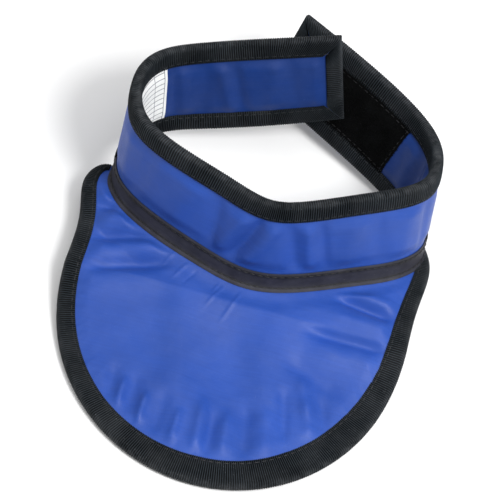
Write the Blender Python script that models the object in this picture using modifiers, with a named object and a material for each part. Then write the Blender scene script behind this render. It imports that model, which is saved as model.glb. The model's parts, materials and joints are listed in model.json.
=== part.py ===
"""Soft shielding neck collar with a bib, standing open on a table.

A layered neck band runs from the left tail, round the front and back to the right tail. The
tails cross at the back, where hook and loop fasten them. A layered bib hangs from the band's
lower edge. It is in two pieces, with a bend line between them, so that its lobe can lift.

World axes: +Z is up from the table and the bib points along -Y. Sizes are in millimetres.
"""
import math

import bmesh
import bpy
import numpy as np

MM = 0.001
COLLECTION = "neck_collar_with_bib"

# The neck band
BAND_HEIGHT = 60.0
# The cage of the spline along the middle of the band's height, from the left tail's end round
# the front to the right tail's end: x, y, z and the lean of the band in degrees
BAND_CAGE = (
    (27, 114, 63, -17),
    (-12, 102, 56, -22),
    (-58, 92, 45, -21),
    (-86, 76, 49, -15),
    (-92, 30, 53, 10),
    (-62, 8, 57, 14),
    (-27, -2, 53, 17),
    (4, -12, 49, 14),
    (32, -2, 50, 16),
    (58, 12, 50, 17),
    (85, 25, 50, 19),
    (101, 48, 43, 8),
    (86, 88, 29, -24),
    (42, 113, 37, -27),
    (-10, 141, 40, -23),
)
SPLINE_SAMPLES = 700
LEFT_SPLIT = 151.0      # distance along the band of the left tail's hinge line
RIGHT_SPLIT = 385.0     # distance along the band of the right tail's hinge line
SPLIT_GAP = 1.0         # clear gap at a bend line between two bodies
COLUMN_PITCH = 8.0      # length of one facet along a strip
EAR_COLUMNS = 11        # facets along an ear's edge, and along the bend line between the ears
EAR_ROWS = 7            # facets from the neck seam to an ear's edge
LOBE_COLUMNS = 28       # facets along the lobe's rim

# Layers of the sheet, measured from its middle surface
COVER = 0.6
CORE = 1.2
CLEARANCE = 0.3
TAPE = 0.9
CORE_CENTRE = (CLEARANCE + CORE) / 2
COVER_CENTRE = CORE_CENTRE + CORE / 2 + CLEARANCE + COVER / 2
FACE = COVER_CENTRE + COVER / 2
TAPE_CENTRE = FACE + CLEARANCE + TAPE / 2
TAPE_FACE = TAPE_CENTRE + TAPE / 2
EDGE_INSET = TAPE + CLEARANCE + 0.4     # from a bound edge to the layers inside its binding

# Bindings, patches and the label
BAND_BINDING = 12.0
END_BINDING = 10.0
EAR_BINDING = 8.5
EAR_ROOT_BINDING = 3.0      # the binding starts narrow, beside the band
LOBE_SIDE_BINDING = 10.0
LOBE_BOTTOM_BINDING = 16.0
SEAM_TAPE_HEIGHT = 6.5
SEAM_TAPE_FLANGE = 5.5
SEAM_TAPE_COLUMNS = (2, 25)     # the front's facets that the outer seam tape spans
PATCH_MARGIN = 3.0      # from a binding to a patch
PATCH = 1.0
LABEL = 0.4
HOOK_COLUMNS = (2, 13)      # the tail's facets that the patch or the label spans
LABEL_COLUMNS = (14, 18)
LOOP_COLUMNS = (6, 15)

# The bib
BEND_Y = -34.0          # the bib's bend line runs along X here
ROOT_HEIGHT = 14.0      # of the bib's middle surface at the bend line
REST_HEIGHT = TAPE_FACE + 0.05     # of the lobe's middle surface where it lies on the table
REST_Y = -92.0          # the lobe lies flat in front of this line
ROOT_CURVE = 2
LOBE_CENTRE_X = 0.5
LOBE_HALF_WIDTH = 103.5
LOBE_DEPTH = 116.0
LOBE_SKEW = 1.5         # the foot of the rim lies this far to the right of its middle
LOBE_CORNER = 0.25      # share of the lobe's rim on each side of its patch
SEAM_DROP = 4.0         # from the band's lower edge down to the bib's middle surface
LEFT_EAR = ((-100, 39), (-110, 25), (-101, 0))
RIGHT_EAR = ((107, 33), (108, 18), (104, -6))
EAR_SHARE = 1 / 3       # share of the upper piece's columns that end on each ear's edge
EAR_ROOT = 4.0          # the ear leaves the band this far out from its middle surface
NECK_LINE_STEP = 0.5
NECK_FALL = 24.0        # the ears fall from the neck line over this distance
NECK_FALL_SHARE = 0.9
BEND_FADE = 16.0        # behind the bend line the bib is flat across for about this far

HINGE_OUT = TAPE_FACE + 0.1     # a tail's hinge line lies on the band's outer surface

COLOURS = {
    "cover": (0.045, 0.13, 0.52, 1.0),
    "core": (0.10, 0.10, 0.11, 1.0),
    "lining": (0.035, 0.09, 0.36, 1.0),
    "binding": (0.012, 0.015, 0.018, 1.0),
    "seam_tape": (0.035, 0.035, 0.042, 1.0),
    "hook": (0.02, 0.02, 0.02, 1.0),
    "loop": (0.008, 0.008, 0.009, 1.0),
    "label": (0.85, 0.85, 0.83, 1.0),
}
ROUGHNESS = {"cover": 0.42, "lining": 0.5, "label": 0.6}


def spline_point(cage, position):
    """A point of the uniform cubic B-spline that starts and ends on its cage's end points."""
    points = np.asarray(cage, dtype=float)
    first = 2 * points[0] - points[1]
    last = 2 * points[-1] - points[-2]
    points = np.vstack([first, points, last])
    index = min(int(position), len(cage) - 2)
    f = position - index
    weights = (
        (1 - f) ** 3,
        3 * f ** 3 - 6 * f ** 2 + 4,
        -3 * f ** 3 + 3 * f ** 2 + 3 * f + 1,
        f ** 3,
    )
    return sum(w * p for w, p in zip(weights, points[index:index + 4])) / 6


def unit(vector):
    return vector / np.linalg.norm(vector)


def steps(length):
    """How many facets a strip of this length takes."""
    return max(2, round(length / COLUMN_PITCH))


class Band:
    """The neck band's surface, by distance along it, height up it and distance out of it."""

    def __init__(self):
        ends = np.linspace(0, len(BAND_CAGE) - 1, SPLINE_SAMPLES)
        samples = np.array([spline_point(BAND_CAGE, p) for p in ends])
        self.middles = samples[:, :3]
        self.leans = np.radians(samples[:, 3])
        runs = np.linalg.norm(np.diff(self.middles, axis=0), axis=1)
        self.travel = np.concatenate([[0], np.cumsum(runs)])
        self.length = self.travel[-1]
        self.tangents = np.gradient(self.middles, self.travel, axis=0)

    def read(self, values, along):
        return np.array([np.interp(along, self.travel, column) for column in values.T])

    def frame(self, along):
        """The middle point, the direction up the band and the direction out of it."""
        tangent = unit(self.read(self.tangents, along))
        lean = np.interp(along, self.travel, self.leans)
        upright = unit(np.array([0, 0, 1.0]) - tangent * tangent[2])
        across = np.cross(upright, tangent)
        rise = math.cos(lean) * upright + math.sin(lean) * across
        return self.read(self.middles, along), rise, np.cross(tangent, rise)

    def point(self, along, height, out):
        middle, rise, outward = self.frame(along)
        return middle + rise * (height - BAND_HEIGHT / 2) + outward * out


BAND = Band()


# The lower edge of the band all along the bib, where the bib's middle surface meets it
NECK_LINE = np.array([
    BAND.point(along, 0, 0) - np.array([0, 0, SEAM_DROP])
    for along in np.arange(LEFT_SPLIT, RIGHT_SPLIT, NECK_LINE_STEP)
])


def smooth(share):
    share = min(max(share, 0), 1)
    return share * share * (3 - 2 * share)


def bib_height(point):
    """Height of the bib's middle surface, which falls from the neck line to the table."""
    x, y = point[:2]
    if y < BEND_Y:
        share = max((y - REST_Y) / (BEND_Y - REST_Y), 0)
        return REST_HEIGHT + (ROOT_HEIGHT - REST_HEIGHT) * share ** ROOT_CURVE
    distances = np.hypot(NECK_LINE[:, 0] - x, NECK_LINE[:, 1] - y)
    nearest = np.argmin(distances)
    fall = min(distances[nearest] / NECK_FALL, 1) * NECK_FALL_SHARE
    rise = (NECK_LINE[nearest, 2] - ROOT_HEIGHT) * (1 - fall)
    return ROOT_HEIGHT + rise * smooth((y - BEND_Y) / BEND_FADE)


def on_bib(point, rise):
    """The point carried to a distance over the bib's middle surface."""
    return np.array([point[0], point[1], bib_height(point) + rise])


def ear_cage(seam_end, ear, bend_x):
    """The plan of an ear's edge, from the band round to the bend line."""
    root = BAND.point(seam_end, 0, EAR_ROOT)[:2]
    return (root, *ear, (bend_x, BEND_Y + SPLIT_GAP / 2))


BEND_LEFT = LOBE_CENTRE_X - LOBE_HALF_WIDTH
BEND_RIGHT = LOBE_CENTRE_X + LOBE_HALF_WIDTH
LEFT_EDGE = ear_cage(LEFT_SPLIT + SPLIT_GAP / 2, LEFT_EAR, BEND_LEFT)
RIGHT_EDGE = ear_cage(RIGHT_SPLIT - SPLIT_GAP / 2, RIGHT_EAR, BEND_RIGHT)


def ear_edge(cage, share, inset, side):
    """A point of an ear's edge, moved into the bib by inset; side is 1 left and -1 right."""
    position = share * (len(cage) - 1)
    step = 0.01
    before = spline_point(cage, max(position - step, 0))
    after = spline_point(cage, min(position + step, len(cage) - 1))
    ahead = unit(after - before)
    inward = np.array([-ahead[1], ahead[0]]) * side
    return spline_point(cage, position) + inward * inset


def lobe_rim(share, inset):
    """A point of the lobe's half-oval rim, from its left end to its right end."""
    half_turn = math.pi * (1 + share)
    direction = np.array([
        LOBE_HALF_WIDTH * math.cos(half_turn),
        LOBE_DEPTH * math.sin(half_turn),
    ])
    inward = -unit(np.array([direction[0] / LOBE_HALF_WIDTH ** 2,
                             direction[1] / LOBE_DEPTH ** 2]))
    centre = np.array([LOBE_CENTRE_X + LOBE_SKEW * math.sin(half_turn) ** 2, BEND_Y])
    x, y = centre + direction + inward * inset
    return np.array([x, min(y, BEND_Y - SPLIT_GAP / 2)])


def patch_point(top, bottom, left, right, u, v):
    """A point of the Coons patch between four edges, which are functions from 0 to 1."""
    across = (1 - v) * top(u) + v * bottom(u)
    down = (1 - u) * left(v) + u * right(v)
    upper = (1 - u) * left(0) + u * right(0)
    lower = (1 - u) * left(1) + u * right(1)
    return across + down - (1 - v) * upper - v * lower


def bib_upper_edge(share):
    """Round the bib's upper piece: down the left ear, along the bend and up the right ear."""
    if share < EAR_SHARE:
        return ear_edge(LEFT_EDGE, share / EAR_SHARE, EDGE_INSET, 1)
    if share > 1 - EAR_SHARE:
        return ear_edge(RIGHT_EDGE, (1 - share) / EAR_SHARE, EDGE_INSET, -1)
    left = ear_edge(LEFT_EDGE, 1, EDGE_INSET, 1)
    right = ear_edge(RIGHT_EDGE, 1, EDGE_INSET, -1)
    return left + (share - EAR_SHARE) / (1 - 2 * EAR_SHARE) * (right - left)


def bib_upper(u, v):
    """The plan of the bib's upper piece: v runs from the neck seam to its outer edge."""
    start = LEFT_SPLIT + SPLIT_GAP / 2 + EDGE_INSET
    end = RIGHT_SPLIT - SPLIT_GAP / 2 - EDGE_INSET
    neck = BAND.point(start + u * (end - start), 0, -FACE)[:2]
    return (1 - v) * neck + v * bib_upper_edge(u)


def bib_lobe(u, v):
    """The plan of the bib's lobe: v runs from the bend line to the rim."""
    def left(share):
        return lobe_rim(LOBE_CORNER * share, EDGE_INSET)

    def right(share):
        return lobe_rim(1 - LOBE_CORNER * share, EDGE_INSET)

    def bend(share):
        return left(0) + share * (right(0) - left(0))

    def rim(share):
        return lobe_rim(LOBE_CORNER + (1 - 2 * LOBE_CORNER) * share, EDGE_INSET)

    return patch_point(bend, rim, left, right, u, v)


def make_material(kind):
    material = bpy.data.materials.new(kind)
    material.use_nodes = True
    shader = material.node_tree.nodes["Principled BSDF"]
    shader.inputs["Base Color"].default_value = COLOURS[kind]
    shader.inputs["Roughness"].default_value = ROUGHNESS.get(kind, 0.85)
    shader.inputs["Metallic"].default_value = 0
    return material


class Builder:
    """Makes the sheets of one body, parented to the empty on its hinge line."""

    def __init__(self, collection, name, hinge, kinds):
        self.collection = collection
        self.kinds = kinds
        self.empty = bpy.data.objects.new(name, None)
        self.empty.empty_display_size = 0.02
        self.empty.location = hinge * MM
        self.hinge = hinge
        collection.objects.link(self.empty)

    def sheet(self, name, kind, place, columns, rows, thickness):
        """A grid bent onto place(u, v) and given its thickness, half to each side."""
        mesh = bpy.data.meshes.new(name)
        grid = bmesh.new()
        bmesh.ops.create_grid(grid, x_segments=columns, y_segments=rows, size=0.5)
        for vertex in grid.verts:
            u = round((vertex.co.x + 0.5) * columns) / columns
            v = round((vertex.co.y + 0.5) * rows) / rows
            vertex.co = (place(u, v) - self.hinge) * MM
        grid.to_mesh(mesh)
        grid.free()
        mesh.materials.append(self.kinds[kind])
        made = bpy.data.objects.new(name, mesh)
        made.parent = self.empty
        self.collection.objects.link(made)
        solid = made.modifiers.new("thickness", "SOLIDIFY")
        solid.thickness = thickness * MM
        solid.offset = 0
        solid.use_even_offset = True
        return made

    def layers(self, prefix, place, columns, rows):
        """The cover, the two core sheets and the lining; place also takes the distance out."""
        stack = (
            ("cover", "cover", COVER_CENTRE, COVER),
            ("core_outer", "core", CORE_CENTRE, CORE),
            ("core_inner", "core", -CORE_CENTRE, CORE),
            ("lining", "lining", -COVER_CENTRE, COVER),
        )
        for layer, kind, out, thickness in stack:
            def layer_place(u, v, out=out):
                return place(u, v, out)
            self.sheet(f"{prefix}_{layer}", kind, layer_place, columns, rows, thickness)

    def binding(self, name, edge, columns, width):
        """A U of tape over an edge: edge takes the share along it, the inset and the rise."""
        def place(u, v):
            reach = width(u) if callable(width) else width
            folds = ((reach, TAPE_CENTRE), (TAPE / 2, TAPE_CENTRE),
                     (TAPE / 2, -TAPE_CENTRE), (reach, -TAPE_CENTRE))
            inset, rise = folds[round(v * 3)]
            return edge(u, inset, rise)
        self.sheet(name, "binding", place, columns, 3, TAPE)


class Stretch:
    """A stretch of the band from start to end, in whole facets."""

    def __init__(self, start, end):
        self.start = start
        self.end = end
        self.columns = steps(end - start)

    def along(self, share):
        return self.start + share * (self.end - self.start)

    def column(self, index):
        return self.along(index / self.columns)


def band_layers(body, prefix, stretch, low, bound):
    """The layers of one stretch; bound says which of its ends, -1 or 1, lies in a binding."""
    heights = (low, BAND_BINDING, BAND_HEIGHT - BAND_BINDING, BAND_HEIGHT - EDGE_INSET)

    def place(u, v, out):
        along = stretch.along(u)
        if u == max(bound, 0) and bound:
            along -= bound * EDGE_INSET
        return BAND.point(along, heights[round(v * 3)], out)
    body.layers(f"{prefix}_band", place, stretch.columns, 3)


def band_edge_binding(body, name, stretch, top):
    def edge(u, inset, rise):
        height = BAND_HEIGHT - inset if top else inset
        return BAND.point(stretch.along(u), height, rise)
    body.binding(name, edge, stretch.columns, BAND_BINDING)


def tail_end_binding(body, name, end, inward):
    """The binding up a tail's end, between the bindings of its top and its bottom."""
    low = BAND_BINDING + CLEARANCE
    high = BAND_HEIGHT - low

    def edge(u, inset, rise):
        return BAND.point(end + inward * inset, low + u * (high - low), rise)
    body.binding(name, edge, 2, END_BINDING)


def band_patch(body, name, kind, stretch, columns, side, thickness):
    """A flat patch on one face of a tail, between its top and bottom bindings."""
    low = BAND_BINDING + PATCH_MARGIN
    high = BAND_HEIGHT - low
    out = side * (FACE + CLEARANCE + thickness / 2)
    start, end = (stretch.column(index) for index in columns)

    def place(u, v):
        return BAND.point(start + u * (end - start), low + v * (high - low), out)
    body.sheet(name, kind, place, columns[1] - columns[0], 1, thickness)


def build_front(body):
    stretch = Stretch(LEFT_SPLIT + SPLIT_GAP / 2, RIGHT_SPLIT - SPLIT_GAP / 2)
    band_layers(body, "front", stretch, 0, 0)
    band_edge_binding(body, "front_top_binding", stretch, True)
    build_seam_tapes(body, stretch)


def outward_in_plan(along):
    outward = BAND.frame(along)[2]
    return unit(np.array([outward[0], outward[1], 0]))


def build_seam_tapes(body, stretch):
    """The tape folded over the neck seam outside, and the one flat on the lining inside."""
    start, end = (stretch.column(index) for index in SEAM_TAPE_COLUMNS)
    low = -SEAM_DROP + TAPE_CENTRE

    def outer(u, v):
        along = start + u * (end - start)
        fold = round(v * 2)
        if fold == 2:
            return BAND.point(along, SEAM_TAPE_HEIGHT, TAPE_CENTRE)
        corner = BAND.point(along, low, TAPE_CENTRE)
        if fold == 1:
            return corner
        return on_bib(corner + outward_in_plan(along) * SEAM_TAPE_FLANGE, TAPE_CENTRE)

    def inner(u, v):
        height = TAPE + v * (BAND_BINDING - TAPE)
        return BAND.point(stretch.along(u), height, -TAPE_CENTRE)

    columns = SEAM_TAPE_COLUMNS[1] - SEAM_TAPE_COLUMNS[0]
    body.sheet("neck_seam_tape", "seam_tape", outer, columns, 2, TAPE)
    body.sheet("inner_neck_seam_tape", "seam_tape", inner, stretch.columns, 1, TAPE)


def ear_binding_width(share):
    return EAR_ROOT_BINDING + (EAR_BINDING - EAR_ROOT_BINDING) * smooth(share / 0.4)


def build_bib_upper(body):
    def place(u, v, out):
        return on_bib(bib_upper(u, v), out)
    body.layers("upper_bib", place, 3 * EAR_COLUMNS, EAR_ROWS)
    for name, cage, side in (("left_ear_binding", LEFT_EDGE, 1),
                             ("right_ear_binding", RIGHT_EDGE, -1)):
        def edge(u, inset, rise, cage=cage, side=side):
            return on_bib(ear_edge(cage, u, inset, side), rise)
        body.binding(name, edge, EAR_COLUMNS, ear_binding_width)


def build_lobe(body):
    def place(u, v, out):
        return on_bib(bib_lobe(u, v), out)

    def edge(u, inset, rise):
        return on_bib(lobe_rim(u, inset), rise)

    def width(u):
        bottom_share = math.sin(math.pi * u) ** 2
        return LOBE_SIDE_BINDING + (LOBE_BOTTOM_BINDING - LOBE_SIDE_BINDING) * bottom_share

    body.layers("lobe", place, LOBE_COLUMNS // 2, LOBE_COLUMNS // 4)
    body.binding("lobe_binding", edge, LOBE_COLUMNS, width)


def build_left_tail(body):
    stretch = Stretch(0, LEFT_SPLIT - SPLIT_GAP / 2)
    band_layers(body, "left_tail", stretch, EDGE_INSET, -1)
    band_edge_binding(body, "left_tail_top_binding", stretch, True)
    band_edge_binding(body, "left_tail_bottom_binding", stretch, False)
    tail_end_binding(body, "left_tail_end_binding", stretch.start, 1)
    band_patch(body, "hook_patch", "hook", stretch, HOOK_COLUMNS, 1, PATCH)
    band_patch(body, "size_label", "label", stretch, LABEL_COLUMNS, -1, LABEL)


def build_right_tail(body):
    stretch = Stretch(RIGHT_SPLIT + SPLIT_GAP / 2, BAND.length)
    band_layers(body, "right_tail", stretch, EDGE_INSET, 1)
    band_edge_binding(body, "right_tail_top_binding", stretch, True)
    band_edge_binding(body, "right_tail_bottom_binding", stretch, False)
    tail_end_binding(body, "right_tail_end_binding", stretch.end, -1)
    band_patch(body, "loop_patch", "loop", stretch, LOOP_COLUMNS, -1, PATCH)


def clear_scene():
    for old in list(bpy.data.objects):
        bpy.data.objects.remove(old, do_unlink=True)


def main():
    clear_scene()
    collection = bpy.data.collections.new(COLLECTION)
    bpy.context.scene.collection.children.link(collection)
    kinds = {kind: make_material(kind) for kind in COLOURS}
    front = Builder(collection, "front_root", np.zeros(3), kinds)
    left_hinge = BAND.point(LEFT_SPLIT, BAND_HEIGHT / 2, HINGE_OUT)
    right_hinge = BAND.point(RIGHT_SPLIT, BAND_HEIGHT / 2, HINGE_OUT)
    bib_hinge = np.array([LOBE_CENTRE_X, BEND_Y, ROOT_HEIGHT + HINGE_OUT])
    build_front(front)
    build_bib_upper(front)
    build_left_tail(Builder(collection, "left_tail_hinge", left_hinge, kinds))
    build_right_tail(Builder(collection, "right_tail_hinge", right_hinge, kinds))
    build_lobe(Builder(collection, "bib_hinge", bib_hinge, kinds))
    bpy.context.view_layer.update()


main()
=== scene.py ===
"""Soft shielding neck collar with a bib, dressed in cloth, ribbed tape and stitches.

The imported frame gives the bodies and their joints. Each operator here makes one group of like
pieces round it. Lengths inside the script are in millimetres, and meshes are written in metres.
"""

import json
import math

import bmesh
import bpy
import numpy as np
from bpy.props import FloatProperty, FloatVectorProperty, IntProperty, PointerProperty
from bpy.types import Operator, Panel, PropertyGroup
from mathutils import Matrix, Vector

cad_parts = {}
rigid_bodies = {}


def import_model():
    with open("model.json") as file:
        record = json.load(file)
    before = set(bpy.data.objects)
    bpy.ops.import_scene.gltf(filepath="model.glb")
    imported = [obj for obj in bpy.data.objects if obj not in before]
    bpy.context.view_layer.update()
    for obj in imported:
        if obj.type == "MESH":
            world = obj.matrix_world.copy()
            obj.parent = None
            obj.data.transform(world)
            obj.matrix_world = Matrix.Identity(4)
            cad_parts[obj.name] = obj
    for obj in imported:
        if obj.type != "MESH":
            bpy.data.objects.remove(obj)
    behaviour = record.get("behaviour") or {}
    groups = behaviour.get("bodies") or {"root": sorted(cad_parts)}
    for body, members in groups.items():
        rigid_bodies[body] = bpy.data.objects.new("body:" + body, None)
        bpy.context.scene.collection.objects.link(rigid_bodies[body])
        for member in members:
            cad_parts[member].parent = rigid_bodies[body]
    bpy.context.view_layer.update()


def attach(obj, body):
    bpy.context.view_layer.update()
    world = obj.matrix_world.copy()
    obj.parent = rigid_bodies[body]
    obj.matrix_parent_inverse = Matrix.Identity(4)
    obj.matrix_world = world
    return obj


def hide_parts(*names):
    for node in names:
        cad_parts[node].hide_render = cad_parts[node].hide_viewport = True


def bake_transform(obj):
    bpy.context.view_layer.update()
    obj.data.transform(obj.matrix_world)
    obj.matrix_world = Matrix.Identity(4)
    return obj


bl_info = {
    "name": "Neck collar with bib",
    "version": (1, 0, 0),
    "blender": (4, 5, 0),
    "location": "3D View > Sidebar > Neck collar",
    "description": "Cloth, bindings, stitches and fasteners for a neck collar with a bib",
    "category": "Object",
}

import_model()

MM = 0.001

# The neck band: the cage of the spline along the middle of its height, from the left tail's end
# round the front to the right tail's end, as x, y, z and the lean in degrees
BAND_HEIGHT = 60.0
BAND_CAGE = (
    (27, 114, 63, -17),
    (-12, 102, 56, -22),
    (-58, 92, 45, -21),
    (-86, 76, 49, -15),
    (-92, 30, 53, 10),
    (-62, 8, 57, 14),
    (-27, -2, 53, 17),
    (4, -12, 49, 14),
    (32, -2, 50, 16),
    (58, 12, 50, 17),
    (85, 25, 50, 19),
    (101, 48, 43, 8),
    (86, 88, 29, -24),
    (42, 113, 37, -27),
    (-10, 141, 40, -23),
)
LEFT_SPLIT = 151.0
RIGHT_SPLIT = 385.0
FRONT_MIDDLE = 278.0    # the left and right halves of the band's cloth meet here

# Distances from the middle of the layered sheet, and thicknesses
FACE = 2.25             # outer face of the cover
TAPE = 0.9
TAPE_FACE = 3.45        # outer face of a binding
CLOTH = 0.6

BAND_BINDING = 12.0
END_BINDING = 10.0
BOUND_INSET = 1.6       # a cover ends this far inside its bound edge
BAND_STEP = 0.9         # from one column of the band's cloth to the next
BAND_ROWS = 50

# The ribbed tape's legs sink at their cut edge and under the stitches: place from the cut edge,
# half width and depth
STITCH_INSET = 2.0
TAPE_DENTS = ((0.0, 1.2, 0.30), (STITCH_INSET, 0.7, 0.22))
RUBBED_WIDTH = 1.6
MITRE_EASE = 46.0       # a tape's legs are drawn back over this length at a tail's corner
END_EASE = 20.0
OVERLAP = 3.0           # the bottom tapes run this far past the neck seam's ends
SHEET_CREASE = 50       # degrees, past which an edge is shown sharp
TAPE_CREASE = 70
WARP_PITCH = 0.00038    # in metres, from one thread along the tape to the next

# The tape over the neck seam: height up the band and distance out of it, then distance out over
# the bib and height above the bib's middle surface
SEAM_START = 152.5
SEAM_END = 383.5
SEAM_TAPER = 12.0
SEAM_WALL = ((8.3, 2.8), (7.5, 3.25), (6.3, 3.45), (4.6, 3.45), (2.8, 3.4), (1.2, 3.5))
SEAM_FLANGE = ((0.3, 3.9), (0.8, 3.6), (1.5, 3.45), (2.3, 3.2), (3.0, 2.7))
SEAM_ROWS = (2, -4)     # its points that have a row of stitches
SEAM_COVER = 7.0        # how far it reaches over the bib's cloth

# Patches on the tails: start, end, low and high edges
HOOK_PATCH = (15.5, 102.0, 15.0, 45.0)
LABEL = (109.5, 140.5, 10.0, 50.0)
PATCH_STEP = 1.2
PAD = 0.7               # thickness of a hook or loop patch
STITCH_MARGIN = 1.6

# The label's print, in metres
LABEL_ROW = 0.0036
LABEL_MARGIN = 0.0022
LABEL_COLUMN = 0.0105

COATING_DUST = (0.35, 0.42, 0.62)

# The bib
BEND_Y = -34.0                  # the line across the bib that it lifts about
ROOT_HEIGHT = 14.0              # height of the bib at that line
REST_HEIGHT = 3.5               # and from REST_Y forward, where it lies flat
REST_Y = -92.0
LOBE_CENTRE_X = 0.5
LOBE_HALF_WIDTH = 103.5
LOBE_DEPTH = 116.0
LOBE_SKEW = 1.5                 # how far the lobe's tip is drawn to the right
SEAM_DROP = 4.0                 # from the band's foot down to the bib at the neck seam
LEFT_EAR = ((-100, 39), (-110, 25), (-101, 0))
RIGHT_EAR = ((107, 33), (108, 18), (104, -6))
EAR_ROOT = 4.0                  # an ear's edge starts this far out of the band
NECK_FALL = 24.0                # the bib falls over this distance from the neck seam,
NECK_FALL_SHARE = 0.9           # by this share of its height over the bend line,
BEND_FADE = 16.0                # which eases in behind the bend line

# Width of the bib's binding by the share of the way round its rim, from the left ear's root
RIM_BINDING = (
    (0.0, 5.5), (0.04, 8.2), (0.12, 9.6), (0.22, 10.4), (0.35, 12.0), (0.5, 16.2), (0.62, 17.0),
    (0.72, 16.0), (0.82, 12.6), (0.89, 10.2), (0.95, 9.0), (1.0, 5.0),
)

# Soft folds of the front of the band: distance along it, drift along it from bottom to top,
# half width and height, where a valley has a negative height
BAND_FOLDS = (
    (214, 6, 9.0, 0.7), (236, -12, 5.0, -0.9), (247, 14, 4.5, 0.9), (257, 16, 4.0, -1.5),
    (266, 20, 4.5, 1.0), (283, -10, 5.0, -1.1), (292, -6, 4.0, 0.9), (301, -8, 3.5, -0.8),
    (318, 5, 7.0, 0.6), (335, -6, 6.0, -0.5), (352, 4, 6.0, 0.5), (366, -4, 4.0, -0.6),
    (186, 10, 6.0, -0.5), (171, -6, 5.0, 0.5),
)
TAIL_FOLDS = (
    (30, 5, 5.0, -0.6), (42, -8, 5.0, 0.6), (63, 6, 4.0, -0.9), (71, 9, 4.0, 0.7),
    (84, -7, 5.0, -0.7), (97, 6, 4.0, 0.5), (104, 5, 3.5, -0.7), (16, 3, 4.0, 0.4),
    (396, 6, 4.5, 0.8), (408, -5, 5.0, -0.9), (420, 8, 5.0, 0.7), (440, 4, 8.0, 0.4),
    (470, -5, 8.0, -0.4), (495, 4, 7.0, 0.3),
)
# Creases of the bib: both ends in plan, half width and height
BIB_CREASES = (
    ((-100, 5), (-68, 11), 3.6, -1.7), ((-98, 12), (-72, 17), 4.5, 0.9),
    ((-96, -5), (-64, 3), 4.5, 1.0), ((-93, -14), (-52, -5), 3.8, -1.5),
    ((-92, -24), (-50, -13), 5.0, 0.9), ((-92, -36), (-38, -17), 4.2, -1.6),
    ((-90, -46), (-44, -32), 7.0, 0.7),
    ((46, -8), (94, -8), 4.0, 0.9), ((54, -12), (95, -17), 3.6, -1.7),
    ((52, -24), (94, -26), 5.0, 1.1), ((44, -38), (95, -38), 4.0, -1.6),
    ((50, -49), (92, -49), 5.5, 0.8), ((38, -58), (72, -72), 7.0, -0.9),
    ((48, -66), (56, -92), 4.5, 0.9), ((40, -78), (46, -108), 4.0, -0.9),
    ((62, -76), (70, -100), 4.0, -0.7), ((54, -80), (60, -104), 4.0, 0.7),
    ((-32, -30), (-20, -112), 11.0, 1.3), ((0, -40), (14, -112), 12.0, -0.9),
    ((22, -36), (34, -100), 11.0, 0.9),
    ((-50, -97), (-51, -116), 2.6, 0.9), ((-57, -90), (-58, -112), 4.0, -0.8),
    ((-36, -103), (-37, -124), 2.6, 1.1), ((-44, -92), (-44, -118), 4.2, -0.8),
    ((-15, -108), (-16, -130), 3.0, 0.9), ((-25, -98), (-27, -128), 5.0, -0.9),
    ((-3, -98), (-2, -132), 4.0, 1.1), ((4, -104), (6, -134), 3.6, -0.9),
    ((12, -100), (14, -131), 3.6, 0.9), ((22, -92), (26, -130), 5.0, -1.1),
    ((33, -94), (38, -126), 5.0, 0.8),
)
# Sharp pulls in the cover that run out from under the neck seam's tape
SEAM_PULLS = (
    ((-30, -12), (-40, -29), 1.1, 0.45), ((-24, -15), (-33, -31), 1.1, -0.4),
    ((-11, -20), (-15, -31), 1.0, 0.45), ((-8, -22), (-17, -40), 1.1, 0.45),
    ((3, -22), (-6, -46), 1.1, 0.5), ((-40, -9), (-48, -22), 1.0, 0.35),
)

# Small random puckers beside a binding: spacing, then the ranges of the shift from it, the half
# width, the height and the reach
BAND_PUCKERS = (7.3, (-2.5, 2.5), (1.6, 3.2), (-0.32, 0.32), (5, 13))
BIB_PUCKERS = (5.2, (-1.8, 1.8), (1.3, 2.6), (-0.34, 0.34), (4, 12))

RELIEF_START = 9.0      # the band's cloth swells from this far inside its long edges
RELIEF_EASE = 9.0
END_START = 8.5         # and from this far inside the tails' ends
END_FADE = 10.0
FOLD_STRENGTH = 2.1     # the soft folds are this many times as high as their tables say
LINING_SHARE = 0.35     # the bib's lining stands this share as high as its cover would

SPLINE_SAMPLES = 900
GRAIN_SEED = 7          # places the puckers


# Sizes and colours -----------------------------------------------------------------------------

def length_setting(name, default, description):
    return FloatProperty(
        name=name, default=default, description=description, unit="LENGTH", min=0, precision=5
    )


def colour_setting(name, default, description):
    return FloatVectorProperty(
        name=name, default=default, description=description, subtype="COLOR", size=3, min=0, max=1
    )


class CollarSizes(PropertyGroup):
    """Sizes of the cloth's fine detail."""

    rib_pitch: length_setting("Rib pitch", 0.00138, "From one rib of the binding to the next")
    rib_depth: length_setting("Rib depth", 0.00026, "Height of a rib over the groove beside it")
    weave_pitch: length_setting("Weave pitch", 0.00042, "Width of one thread of the cover")
    stitch: length_setting("Stitch", 0.0034, "Length of one stitch")
    stitch_gap: length_setting("Stitch gap", 0.0010, "From one stitch to the next")
    thread: length_setting("Thread", 0.00030, "Radius of the sewing thread")
    hook_pitch: length_setting("Hook pitch", 0.0018, "From one hook to the next")
    hook_height: length_setting("Hook height", 0.0011, "Height of a hook over its patch")
    pile_height: length_setting("Pile height", 0.0009, "Height of the loop patch's pile")
    band_fill: length_setting("Band fill", 0.0014, "How far the band's cover stands proud")
    bib_fill: length_setting("Bib fill", 0.0016, "How far the bib's cover stands proud")
    pile_density: FloatProperty(
        name="Pile density", default=1.6e6, min=0, description="Tufts in a square metre of pile"
    )
    pile_seed: IntProperty(name="Pile seed", default=11, description="Places the tufts")


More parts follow.
